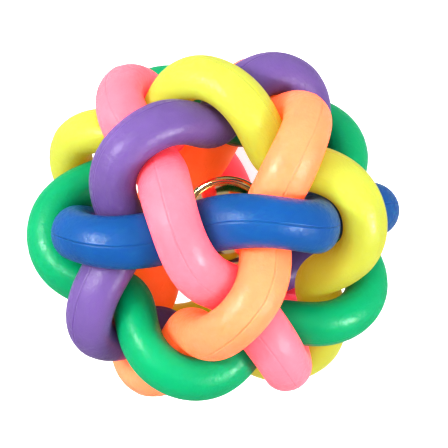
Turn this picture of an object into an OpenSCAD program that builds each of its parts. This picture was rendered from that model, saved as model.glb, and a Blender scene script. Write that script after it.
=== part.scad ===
/* [Woven ball] */
// Diameter over two opposite crossings
ball_diameter = 90; // [85:1:100]
// Thickness of a strand, measured towards the centre of the ball
strand_thickness = 10.8; // [10.4:0.1:11]
// Width of a strand, measured along the surface of the ball
strand_width = 11.8; // [11.6:0.1:12.2]
// How far a strand rises and dips from its mean circle
weave_depth = 5.6; // [5.5:0.05:5.8]
// How far a strand swerves to either side of its mean circle
weave_sway = 1.4; // [1.2:0.1:1.6]
// Flattening of a strand where another one crosses it
crossing_flat = 0.9; // [0.8:0.1:1.2]

/* [Jingle bell] */
// Outer diameter of the two pressed shells
bell_diameter = 20.4; // [19:0.2:21]
// Outer diameter of the rolled rim that joins the shells
rim_diameter = 23.2; // [22.4:0.2:24]
// Thickness of the sheet metal
sheet = 0.5; // [0.4:0.1:0.6]
// Thickness of the loop's wire
loop_wire = 1.4; // [1:0.1:1.6]
// Diameter of the steel ball inside the bell
pellet_diameter = 6; // [4:0.5:6.5]

/* [Hidden] */

// Each ring crosses the other five twice, so its path rises and dips five times.
waves = 5;
// A second, finer wave broadens the crests and narrows the dips
crest_trim = -0.6;
mean_radius = ball_diameter / 2 - strand_thickness / 2 - weave_depth - crest_trim;
// A strand is a little narrower over a crest than in a dip
crest_narrowing = 0.15;
ring_sections = 90;
section_corners = 14;

// The axes of the six rings point at the corners of an icosahedron. In the weave's own frame
// one ring lies level, and the other axes lean this far from its axis, a fifth of a turn apart.
axis_lean = atan(2);
// The ball stands on three crossings, so the weave tilts to bring a triangle underneath.
stand_tilt = acos(sqrt((5 + 2 * sqrt(5)) / 15));

// Where the loose bell lies, measured from the centre of the ball, and how far it leans
bell_place = [4.7, -2, -11.5];
bell_lean = -18;
shell_radius = bell_diameter / 2;
rim_radius = rim_diameter / 2;
rim_roll = 1.1;
// Room between the rolled rim and the flange that it holds
fold_gap = 0.05;
flange_radius = rim_radius - sheet - fold_gap;
slot_width = 1.6;
slot_end_diameter = 3.2;
slot_end_spacing = 12;
loop_radius = 2.6;
loop_rise = 1.2;
loop_reach = 0.8;
loop_hole = loop_wire + 0.1;
// The pellet lies this far off the shell under it
pellet_gap = 0.1;
pellet_drop = shell_radius - sheet - pellet_diameter / 2 - pellet_gap;
$fn = 64;

function unit(v) = v / norm(v);

// The line through the middle of a strand, at the angle s round its ring
function strand_way(s) = unit([cos(s), sin(s), -weave_sway / mean_radius * sin(waves * s)]);
function strand_middle(s) =
    (mean_radius + weave_depth * cos(waves * s) + crest_trim * cos(2 * waves * s)) * strand_way(s);

// Half the thickness outwards and inwards, less where another strand crosses, and half the width
function outer_half(s) = strand_thickness / 2 - crossing_flat * (1 - cos(waves * s)) / 2;
function inner_half(s) = strand_thickness / 2 - crossing_flat * (1 + cos(waves * s)) / 2;
function side_half(s) = strand_width / 2 - crest_narrowing * cos(waves * s);

// The corners of the strand's oval section at the angle s
function strand_section(s) =
    let (along = unit(strand_middle(s + 0.1) - strand_middle(s - 0.1)),
         across = unit(cross(along, strand_way(s))),
         outward = cross(across, along))
    [for (k = [0:section_corners - 1])
        let (turn = 360 * k / section_corners,
             rise = cos(turn) > 0 ? outer_half(s) : inner_half(s))
        strand_middle(s) + outward * rise * cos(turn) + across * side_half(s) * sin(turn)];

// One closed ring of the weave, with its mean circle level
module level_ring() {
    points = [for (i = [0:ring_sections - 1]) each strand_section(360 * i / ring_sections)];
    function corner(i, k) = (i % ring_sections) * section_corners + k % section_corners;
    faces = [for (i = [0:ring_sections - 1], k = [0:section_corners - 1])
        each [[corner(i, k), corner(i, k + 1), corner(i + 1, k + 1)],
              [corner(i, k), corner(i + 1, k + 1), corner(i + 1, k)]]];
    rotate(180) polyhedron(points = points, faces = faces);
}

// Stands the weave on a triangle of three crossings
module stood() {
    rotate([-stand_tilt, 0, 0]) children();
}

// The axis of the ring at this bearing, in the weave's own frame
function ring_axis(bearing) =
    [sin(axis_lean) * cos(bearing), sin(axis_lean) * sin(bearing), cos(axis_lean)];

// A third of a turn about the triangle between the level ring's axis and two neighbouring
// axes carries the level ring to its place at this bearing.
module leaning_ring(bearing) {
    triangle = [0, 0, 1] + ring_axis(bearing) + ring_axis(bearing + 360 / waves);
    rotate(a = 120, v = triangle) level_ring();
}

module green_ring() {
    color("mediumseagreen") stood() level_ring();
}

module pink_ring() {
    color("lightpink") stood() leaning_ring(18);
}

module blue_ring() {
    color("royalblue") stood() leaning_ring(90);
}

module orange_ring() {
    color("sandybrown") stood() leaning_ring(162);
}

module yellow_ring() {
    color("khaki") stood() leaning_ring(234);
}

module purple_ring() {
    color("mediumpurple") stood() leaning_ring(306);
}

// Moves a piece of the bell, drawn upright about its own centre, to where the bell lies
module bell_pose() {
    translate(bell_place) rotate([0, bell_lean, 0]) children();
}

// The section of half a hollow ball, above z = 0
module dome_section() {
    difference() {
        intersection() {
            circle(r = shell_radius);
            square(shell_radius);
        }
        circle(r = shell_radius - sheet);
    }
}

// The section of the rolled rim, open inside for the other shell and its flange
module rim_section() {
    difference() {
        translate([rim_radius - rim_roll, 0]) circle(r = rim_roll);
        circle(r = shell_radius - sheet);
        translate([0, -sheet - fold_gap]) square([flange_radius + fold_gap, sheet + fold_gap]);
        intersection() {
            circle(r = shell_radius + fold_gap);
            translate([0, -shell_radius]) square([2 * shell_radius, shell_radius]);
        }
    }
}

module bell_upper_shell() {
    color("goldenrod") bell_pose() difference() {
        rotate_extrude() {
            dome_section();
            rim_section();
        }
        for (side = [-1, 1])
            translate([0, side * loop_radius, shell_radius / 2])
                cylinder(d = loop_hole, h = shell_radius);
    }
}

module bell_lower_shell() {
    color("goldenrod") bell_pose() difference() {
        rotate_extrude() {
            mirror([0, 1]) dome_section();
            translate([shell_radius - sheet, -sheet])
                square([flange_radius - shell_radius + sheet, sheet]);
        }
        translate([-slot_end_spacing / 2, -slot_width / 2, -shell_radius - 1])
            cube([slot_end_spacing, slot_width, shell_radius]);
        for (side = [-1, 1])
            translate([side * slot_end_spacing / 2, 0, -shell_radius - 1])
                cylinder(d = slot_end_diameter, h = shell_radius);
    }
}

module bell_loop() {
    loop_height = shell_radius + loop_rise;
    leg_foot = shell_radius - sheet - loop_reach;
    color("goldenrod") bell_pose() {
        translate([0, 0, loop_height]) rotate([90, 0, 90])
            rotate_extrude(angle = 180) translate([loop_radius, 0]) circle(d = loop_wire);
        for (side = [-1, 1])
            translate([0, side * loop_radius, leg_foot])
                cylinder(d = loop_wire, h = loop_height - leg_foot);
    }
}

module bell_pellet() {
    color("silver") translate(bell_place - [0, 0, pellet_drop]) sphere(d = pellet_diameter);
}

blue_ring();
green_ring();
yellow_ring();
orange_ring();
pink_ring();
purple_ring();
bell_upper_shell();
bell_lower_shell();
bell_loop();
bell_pellet();
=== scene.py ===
import math

import bpy
import numpy as np
from mathutils import Matrix, Vector


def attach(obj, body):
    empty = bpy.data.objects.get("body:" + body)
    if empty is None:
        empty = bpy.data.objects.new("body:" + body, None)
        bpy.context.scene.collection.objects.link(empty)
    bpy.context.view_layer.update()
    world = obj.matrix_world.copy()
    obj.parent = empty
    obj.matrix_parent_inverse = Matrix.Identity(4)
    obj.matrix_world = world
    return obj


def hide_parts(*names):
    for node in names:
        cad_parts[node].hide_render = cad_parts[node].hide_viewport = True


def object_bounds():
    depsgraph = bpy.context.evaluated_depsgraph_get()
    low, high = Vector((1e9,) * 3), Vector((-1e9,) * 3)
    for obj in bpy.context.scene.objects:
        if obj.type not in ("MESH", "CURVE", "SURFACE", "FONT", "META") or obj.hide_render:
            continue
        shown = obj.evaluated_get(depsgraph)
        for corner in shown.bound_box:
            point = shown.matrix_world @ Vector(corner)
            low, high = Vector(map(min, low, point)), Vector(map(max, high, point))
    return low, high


MM = 0.001

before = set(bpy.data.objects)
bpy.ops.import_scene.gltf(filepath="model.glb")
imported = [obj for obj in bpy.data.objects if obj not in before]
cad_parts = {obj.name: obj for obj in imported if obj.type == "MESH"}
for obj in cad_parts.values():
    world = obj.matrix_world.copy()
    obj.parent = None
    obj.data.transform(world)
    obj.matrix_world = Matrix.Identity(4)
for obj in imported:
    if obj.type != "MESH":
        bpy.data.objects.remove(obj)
cad_low, cad_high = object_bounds()

# ---------------------------------------------------------------- the weave, in metres
BALL_RADIUS = (cad_high[0] - cad_low[0]) / 2
STRAND_THICKNESS = 10.8 * MM
STRAND_WIDTH = 11.8 * MM
WEAVE_DEPTH = 5.6 * MM
WEAVE_SWAY = 1.4 * MM
CROSSING_FLAT = 0.9 * MM
CREST_TRIM = -0.6 * MM
CREST_NARROWING = 0.15 * MM
WAVES = 5
MEAN_RADIUS = BALL_RADIUS - STRAND_THICKNESS / 2 - WEAVE_DEPTH - CREST_TRIM
AXIS_LEAN = math.atan(2)
STAND_TILT = math.acos(math.sqrt((5 + 2 * math.sqrt(5)) / 15))
RING_BEARINGS = {"green": None, "pink": 18, "blue": 90, "orange": 162, "yellow": 234, "purple": 306}

RING_SECTIONS = 400
SECTION_CORNERS = 44
# The mould's parting line: a fine groove between two lips, the first one higher. It is given as
# degrees round the section, and heights as shares of the lip or, below zero, of the groove.
SEAM_DEPTH = 0.12 * MM
SEAM_LIP = 0.1 * MM
SEAM_STEPS = (-9.0, -6.5, -4.5, -3.0, -1.8, -0.9, 0.0, 0.9, 1.8, 3.0, 4.5, 6.5, 9.0)
SEAM_PROFILE = (0.0, 0.35, 0.9, 1.0, 0.1, -0.7, -1.0, -0.7, 0.0, 0.6, 0.5, 0.15, 0.0)
# The dark line in the groove is this many degrees wide to either side
SEAM_LINE = 2
# How far the line wanders off the middle of the strand
SEAM_WANDER = math.radians(7)
# The line along the inside is this much weaker
INNER_SEAM = 0.3
# The skins narrow the gaps that let the CAD rings move: this much where strands cross, and this
# much at the sides, where they are fuller half way between a crest and a dip
CROSSING_SKIN = 0.12 * MM
SIDE_SKIN = 0.2 * MM
FLANK_SKIN = 0.13 * MM
# Scuffs run along the strand, so their noise changes this much slower along it than across it
SCUFF_STRETCH = 0.3
# Half the step, in radians round the ring, over which a strand's direction is taken
ALONG_STEP = 0.002

RUBBER = {
    "blue": (0.004, 0.058, 0.185, 1),
    "green": (0.0002, 0.22, 0.09, 1),
    "yellow": (0.21, 0.28, 0.045, 1),
    "orange": (0.98, 0.172, 0.086, 1),
    "pink": (0.98, 0.127, 0.166, 1),
    "purple": (0.1, 0.06, 0.182, 1),
}
# How far each colour of light spreads inside the rubber, against the others
GLOW = {
    "blue": (0.3, 0.3, 1),
    "green": (0.15, 1, 0.4),
    "yellow": (1, 0.55, 0.1),
    "orange": (1, 0.3, 0.12),
    "pink": (1, 0.25, 0.25),
    "purple": (0.7, 0.4, 1),
}
# Painted glow: each neon colour gets a steady emission that lifts its shade and crevices, standing
# in for the light that its pigment turns into its own colour.
PAINTED_GLOW = {
    "yellow": (0.31, 0.16, 0, 1),
    "orange": (0.4, 0.055, 0, 1),
    "pink": (0.4, 0.02, 0.035, 1),
}
NO_LIGHT = (0, 0, 0, 1)
GLOW_DEPTH = 3.5 * MM
DUST = (0.9, 0.9, 0.88, 1)
# How strongly the scuffs and the seam tint the pigment
SCUFF_SHARE = 0.12
SEAM_SHARE = 0.22


# ---------------------------------------------------------------- small helpers
def unit(rows):
    return rows / np.linalg.norm(rows, axis=-1, keepdims=True)


def mesh_object(name, points, faces):
    mesh = bpy.data.meshes.new(name)
    mesh.from_pydata([tuple(p) for p in points], [], faces)
    mesh.validate()
    mesh.polygons.foreach_set("use_smooth", [True] * len(mesh.polygons))
    piece = bpy.data.objects.new(name, mesh)
    bpy.context.scene.collection.objects.link(piece)
    return piece


def paint(piece, material):
    piece.data.materials.clear()
    piece.data.materials.append(material)


# ---------------------------------------------------------------- rings
def strand_way(s):
    sway = -WEAVE_SWAY / MEAN_RADIUS * np.sin(WAVES * s)
    return unit(np.stack([np.cos(s), np.sin(s), sway], axis=-1))


def strand_middle(s):
    radius = MEAN_RADIUS + WEAVE_DEPTH * np.cos(WAVES * s) + CREST_TRIM * np.cos(2 * WAVES * s)
    return radius[..., None] * strand_way(s)


def section_turns():
    """Angles round the section, closer together beside the two parting lines."""
    spread = 360 / SECTION_CORNERS
    turns, relief, seams = [], [], []
    for side, share in ((0, 1.0), (180, INNER_SEAM)):
        for step, height in zip(SEAM_STEPS, SEAM_PROFILE):
            turns.append(side + step)
            relief.append(height * share)
            seams.append(share * max(0.0, 1 - abs(step) / SEAM_LINE))
        gap = 180 - SEAM_STEPS[-1] * 2
        count = round(gap / spread)
        for i in range(1, count):
            turns.append(side + SEAM_STEPS[-1] + gap * i / count)
            relief.append(0.0)
            seams.append(0.0)
    return np.radians(turns), np.array(relief), np.array(seams)


def ring_points(phase):
    """A level ring's points, and at each one the seam's strength and the place for the scuffs."""
    s = np.linspace(0, 2 * math.pi, RING_SECTIONS, endpoint=False)
    turns, relief, seams = section_turns()
    middle = strand_middle(s)
    along = unit(strand_middle(s + ALONG_STEP) - strand_middle(s - ALONG_STEP))
    across = unit(np.cross(along, strand_way(s)))
    outward = np.cross(across, along)
    crest = np.cos(WAVES * s)
    outer = STRAND_THICKNESS / 2 - (CROSSING_FLAT - CROSSING_SKIN) * (1 - crest) / 2
    inner = STRAND_THICKNESS / 2 - (CROSSING_FLAT - CROSSING_SKIN) * (1 + crest) / 2
    side = (STRAND_WIDTH / 2 - CREST_NARROWING * crest + SIDE_SKIN
            - FLANK_SKIN * np.cos(2 * WAVES * s))
    wander = SEAM_WANDER * (0.6 * np.sin(2 * s + phase) + 0.4 * np.sin(7 * s + 3 * phase))
    turn = turns[None, :] + wander[:, None]
    rise = np.where(np.cos(turn) > 0, outer[:, None], inner[:, None])
    lift = np.where(relief > 0, relief * SEAM_LIP, relief * SEAM_DEPTH)[None, :]
    fade = (0.75 + 0.25 * np.sin(9 * s + 5 * phase))[:, None]
    push = 1 + lift * fade / (STRAND_THICKNESS / 2)
    points = (middle[:, None]
              + outward[:, None] * (rise * np.cos(turn) * push)[..., None]
              + across[:, None] * (side[:, None] * np.sin(turn) * push)[..., None])
    way_radius = MEAN_RADIUS * SCUFF_STRETCH
    way_x = np.broadcast_to((way_radius * np.cos(s))[:, None], turn.shape)
    way_y = np.broadcast_to((way_radius * np.sin(s))[:, None], turn.shape)
    scuff_way = np.stack([way_x, way_y, STRAND_WIDTH / 2 * np.cos(turn)], axis=-1)
    scuff_side = STRAND_WIDTH / 2 * np.sin(turn)
    return points, seams[None, :] * fade, scuff_way, scuff_side


def ring_axis(bearing):
    angle = math.radians(bearing)
    return Vector((math.sin(AXIS_LEAN) * math.cos(angle), math.sin(AXIS_LEAN) * math.sin(angle),
                   math.cos(AXIS_LEAN)))


def ring_place(bearing):
    stood = Matrix.Rotation(-STAND_TILT, 3, "X")
    if bearing is None:
        return stood @ Matrix.Rotation(math.pi, 3, "Z")
    triangle = Vector((0, 0, 1)) + ring_axis(bearing) + ring_axis(bearing + 360 / WAVES)
    return stood @ Matrix.Rotation(math.radians(120), 3, triangle) @ Matrix.Rotation(math.pi, 3, "Z")


def make_ring(colour, phase):
    points, seams, scuff_way, scuff_side = ring_points(phase)
    rows, columns = points.shape[:2]
    place = np.array(ring_place(RING_BEARINGS[colour]))
    flat = points.reshape(-1, 3) @ place.T
    faces = []
    for i in range(rows):
        ahead = (i + 1) % rows
        for k in range(columns):
            beside = (k + 1) % columns
            faces.append((i * columns + k, i * columns + beside, ahead * columns + beside,
                          ahead * columns + k))
    ring = mesh_object(colour + "_rubber_ring", flat, faces)
    for name, values in (("seam", seams), ("scuff_side", scuff_side)):
        attribute = ring.data.attributes.new(name, "FLOAT", "POINT")
        attribute.data.foreach_set("value", values.reshape(-1).astype(np.float32))
    attribute = ring.data.attributes.new("scuff_way", "FLOAT_VECTOR", "POINT")
    attribute.data.foreach_set("vector", scuff_way.reshape(-1).astype(np.float32))
    paint(ring, rubber_material(colour, phase))
    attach(ring, colour + "_ring")
    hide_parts(colour + "_ring")


# ---------------------------------------------------------------- materials
class Nodes:
    """A material's node tree, with the few steps that the materials here are made of."""

    def __init__(self, name):
        self.material = bpy.data.materials.new(name)
        self.material.use_nodes = True
        self.tree = self.material.node_tree
        self.shader = self.tree.nodes["Principled BSDF"]

    def add(self, kind, **settings):
        node = self.tree.nodes.new(kind)
        for key, value in settings.items():
            setattr(node, key, value)
        return node

    def link(self, source, target):
        self.tree.links.new(source, target)

    def noise(self, scale, detail, offset):
        coordinates = self.add("ShaderNodeTexCoord")
        shift = self.add("ShaderNodeMapping")
        shift.inputs["Location"].default_value = (offset, 0.37 * offset, -0.61 * offset)
        texture = self.add("ShaderNodeTexNoise")
        texture.inputs["Scale"].default_value = scale
        texture.inputs["Detail"].default_value = detail
        texture.inputs["Roughness"].default_value = 0.55
        self.link(coordinates.outputs["Object"], shift.inputs["Vector"])
        self.link(shift.outputs["Vector"], texture.inputs["Vector"])
        return texture.outputs["Fac"]

    def specks(self):
        """A few fine specks of dust, one in each cell of a coarse pattern."""
        coordinates = self.add("ShaderNodeTexCoord")
        cells = self.add("ShaderNodeTexVoronoi", feature="F1")
        cells.inputs["Scale"].default_value = 48
        self.link(coordinates.outputs["Object"], cells.inputs["Vector"])
        return self.spread(cells.outputs["Distance"], 0.022, 0.012, 0, 0.75)

    def attribute(self, name, output):
        return self.add("ShaderNodeAttribute", attribute_name=name).outputs[output]

    def scuffs(self, scale, detail):
        """Noise drawn out along the strand, without a join anywhere round the ring."""
        texture = self.add("ShaderNodeTexNoise", noise_dimensions="4D")
        texture.inputs["Scale"].default_value = scale
        texture.inputs["Detail"].default_value = detail
        texture.inputs["Roughness"].default_value = 0.65
        self.link(self.attribute("scuff_way", "Vector"), texture.inputs["Vector"])
        self.link(self.attribute("scuff_side", "Fac"), texture.inputs["W"])
        return texture.outputs["Fac"]

    def spread(self, value, low, high, to_low, to_high):
        """The value, with low to high stretched to to_low to to_high."""
        node = self.add("ShaderNodeMapRange")
        node.inputs["From Min"].default_value = low
        node.inputs["From Max"].default_value = high
        node.inputs["To Min"].default_value = to_low
        node.inputs["To Max"].default_value = to_high
        self.link(value, node.inputs["Value"])
        return node.outputs["Result"]

    def blend(self, amount, first, second):
        """A mix of two colours, each a tuple or a node's output."""
        node = self.add("ShaderNodeMix", data_type="RGBA")
        for socket, value in (("A", first), ("B", second)):
            target = [i for i in node.inputs if i.name == socket and i.type == "RGBA"][0]
            if isinstance(value, tuple):
                target.default_value = value
            else:
                self.link(value, target)
        self.link(amount, node.inputs["Factor"])
        return [o for o in node.outputs if o.type == "RGBA"][0]

    def bump(self, height, strength, distance, before=None):
        node = self.add("ShaderNodeBump")
        node.inputs["Strength"].default_value = strength
        node.inputs["Distance"].default_value = distance
        self.link(height, node.inputs["Height"])
        if before is not None:
            self.link(before, node.inputs["Normal"])
        return node.outputs["Normal"]


def shade(colour, factor):
    return tuple(c * factor for c in colour[:3]) + (1.0,)


def rubber_material(colour, phase):
    base = RUBBER[colour]
    nodes = Nodes(colour + "_rubber")
    shader = nodes.shader.inputs

    # Pigment: slightly cloudy, scuffed along the strand, dark in the seam and dusted with specks
    cloudy = nodes.spread(nodes.noise(70, 3, phase), 0.3, 0.7, 0, 1)
    pigment = nodes.blend(cloudy, shade(base, 0.9), shade(base, 1.07))
    scuffed = nodes.spread(nodes.scuffs(1900, 4), 0.56, 0.72, 0, SCUFF_SHARE)
    pigment = nodes.blend(scuffed, pigment, shade(base, 1.2))
    in_seam = nodes.spread(nodes.attribute("seam", "Fac"), 0, 1, 0, SEAM_SHARE)
    pigment = nodes.blend(in_seam, pigment, shade(base, 0.4))
    pigment = nodes.blend(nodes.specks(), pigment, DUST)
    nodes.link(pigment, shader["Base Color"])

    # Surface: satin, with a mottled moulded texture
    mottle = nodes.noise(900, 4, phase + 6)
    nodes.link(nodes.spread(mottle, 0.35, 0.65, 0.28, 0.48), shader["Roughness"])
    shader["Specular IOR Level"].default_value = 0.25
    lumps = nodes.bump(nodes.noise(260, 4, phase + 2), 0.25, 0.6 * MM)
    grain = nodes.bump(mottle, 0.5, 0.25 * MM, lumps)
    nodes.link(grain, shader["Normal"])

    # Depth: light spreads inside the rubber, and the neon colours get a painted glow that lifts
    # their shade
    shader["Subsurface Weight"].default_value = 0.7
    shader["Subsurface Radius"].default_value = GLOW[colour]
    shader["Subsurface Scale"].default_value = GLOW_DEPTH
    # Painted glow: a steady emission that brightens the neon rubber as much in shade as in light
    shader["Emission Color"].default_value = PAINTED_GLOW.get(colour, NO_LIGHT)
    shader["Emission Strength"].default_value = 1
    return nodes.material


def gold_material():
    nodes = Nodes("bell_gold")
    cloudy = nodes.spread(nodes.noise(300, 4, 1.7), 0.35, 0.7, 0, 1)
    nodes.link(nodes.blend(cloudy, (0.86, 0.62, 0.3, 1), (0.95, 0.76, 0.45, 1)),
               nodes.shader.inputs["Base Color"])
    nodes.shader.inputs["Metallic"].default_value = 1
    nodes.link(nodes.spread(nodes.noise(900, 5, 4.1), 0.3, 0.7, 0.1, 0.2),
               nodes.shader.inputs["Roughness"])
    ripple = nodes.bump(nodes.noise(160, 2, 2.9), 0.12, 0.5 * MM)
    nodes.link(ripple, nodes.shader.inputs["Normal"])
    return nodes.material


def steel_material():
    nodes = Nodes("pellet_steel")
    cloudy = nodes.spread(nodes.noise(500, 4, 0.4), 0.3, 0.7, 0, 1)
    nodes.link(nodes.blend(cloudy, (0.42, 0.42, 0.43, 1), (0.6, 0.6, 0.61, 1)),
               nodes.shader.inputs["Base Color"])
    nodes.shader.inputs["Metallic"].default_value = 1
    nodes.link(nodes.spread(nodes.noise(1500, 4, 2.2), 0.3, 0.7, 0.2, 0.4),
               nodes.shader.inputs["Roughness"])
    return nodes.material


# Each ring's phase shifts its noise and the wander of its seam, so that no two look the same.
PHASE_STEP = 1.3
for number, name in enumerate(RING_BEARINGS):
    make_ring(name, PHASE_STEP * number)

gold = gold_material()
for node in ("bell_upper_shell", "bell_lower_shell", "bell_loop"):
    paint(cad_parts[node], gold)
paint(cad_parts["bell_pellet"], steel_material())

# ---------------------------------------------------------------- camera
CAMERA_BACK = Vector((-0.1063, 0.2124, 0.9714)).normalized()
CAMERA_UP = Vector((0.0839, 0.9753, -0.2041)).normalized()
CAMERA_RIGHT = CAMERA_UP.cross(CAMERA_BACK).normalized()
CAMERA_DISTANCE = 0.4949
# The width that the picture takes in at the ball's centre
VIEW_WIDTH = 0.10768

camera_data = bpy.data.cameras.new("camera")
camera_data.sensor_width = 36
camera_data.lens = camera_data.sensor_width * CAMERA_DISTANCE / VIEW_WIDTH
camera_data.shift_x = 0.0215
camera_data.shift_y = 0.0028
camera_data.clip_start = 0.01
camera = bpy.data.objects.new("camera", camera_data)
bpy.context.scene.collection.objects.link(camera)
camera_up = CAMERA_BACK.cross(CAMERA_RIGHT)
turned = Matrix((CAMERA_RIGHT, camera_up, CAMERA_BACK)).transposed().to_4x4()
camera.matrix_world = Matrix.Translation(CAMERA_BACK * CAMERA_DISTANCE) @ turned
bpy.context.scene.camera = camera

# ---------------------------------------------------------------- floor and light
# The floor glows a little, so that it is white even under the ball, and the rubber and the gold
# don't mirror it.
WHITE = (1, 1, 1, 1)
FLOOR_SIZE = 6
FLOOR_GLOW = 0.75
rings_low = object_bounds()[0]
bpy.ops.mesh.primitive_plane_add(size=FLOOR_SIZE, location=(0, 0, rings_low[2]))
floor = bpy.context.object
floor.name = "floor"
white = Nodes("white_floor")
white.shader.inputs["Base Color"].default_value = (0.65, 0.65, 0.65, 1)
white.shader.inputs["Specular IOR Level"].default_value = 0
white.shader.inputs["Roughness"].default_value = 0.9
white.shader.inputs["Emission Color"].default_value = WHITE
white.shader.inputs["Emission Strength"].default_value = FLOOR_GLOW
paint(floor, white.material)
floor.visible_glossy = False


def softbox(name, right, up, back, size, watts):
    """A rectangular lamp that faces the ball, placed in metres from it as the camera sees it."""
    data = bpy.data.lights.new(name, "AREA")
    data.shape = "RECTANGLE"
    data.size, data.size_y = size
    data.energy = watts
    light = bpy.data.objects.new(name, data)
    bpy.context.scene.collection.objects.link(light)
    light.location = CAMERA_RIGHT * right + camera_up * up + CAMERA_BACK * back
    light.rotation_euler = light.location.to_track_quat("Z", "Y").to_euler()
    return light


# The broad front light fills the gaps, and only the two narrow ones show as highlights.
softbox("front_softbox", -0.1, 0.15, 1.1, (1.2, 1.2), 31).visible_glossy = False
softbox("left_softbox", -0.74, 0.22, 0.74, (0.13, 0.42), 15)
softbox("right_softbox", 0.8, -0.35, 0.6, (0.13, 0.42), 15)

world = bpy.data.worlds.new("studio")
bpy.context.scene.world = world
world.use_nodes = True
world.node_tree.nodes["Background"].inputs["Color"].default_value = WHITE
world.node_tree.nodes["Background"].inputs["Strength"].default_value = 0.5
bpy.context.scene.view_settings.view_transform = "Standard"
bpy.context.scene.view_settings.gamma = 0.87
